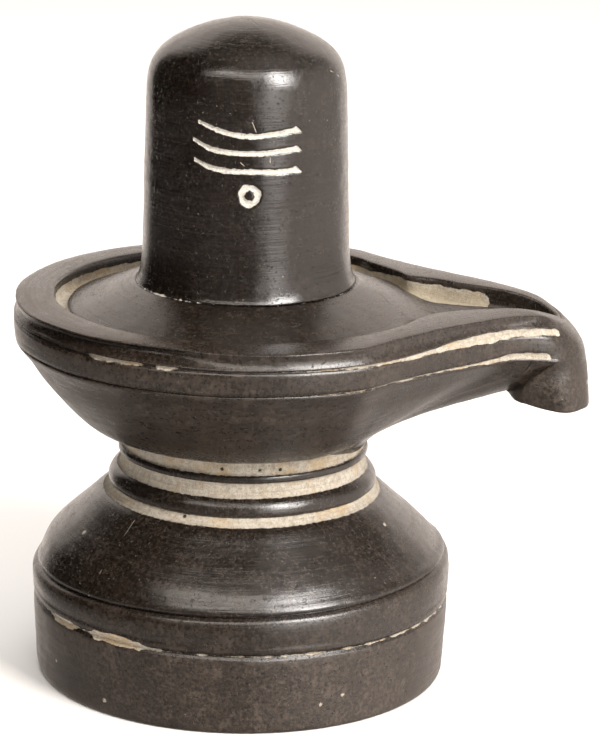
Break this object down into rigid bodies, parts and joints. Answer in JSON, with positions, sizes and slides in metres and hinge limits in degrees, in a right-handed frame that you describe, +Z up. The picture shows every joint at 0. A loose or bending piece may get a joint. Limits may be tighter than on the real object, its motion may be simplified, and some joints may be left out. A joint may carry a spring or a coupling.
{
  "type": "shiva lingam stone",
  "caption": "Dark polished stone lingam: a domed upright shaft in a round spouted dish, on a ringed neck, flared bell and broad drum base, carved in one piece.",
  "frame": {"origin": "centre of the flat underside of the drum, on the axis of the drum and shaft", "axes": "+Z up along the shaft, +X out towards the tip of the spout, +Y completes the right-handed set; the engraved strokes face -Y"},
  "size_m": [0.1298, 0.1034, 0.1496],
  "materials": {
    "polished_black_stone": "satin"
  },
  "bodies": {
    "root": {"lingam_stone": "polished_black_stone"}
  },
  "joints": []
}
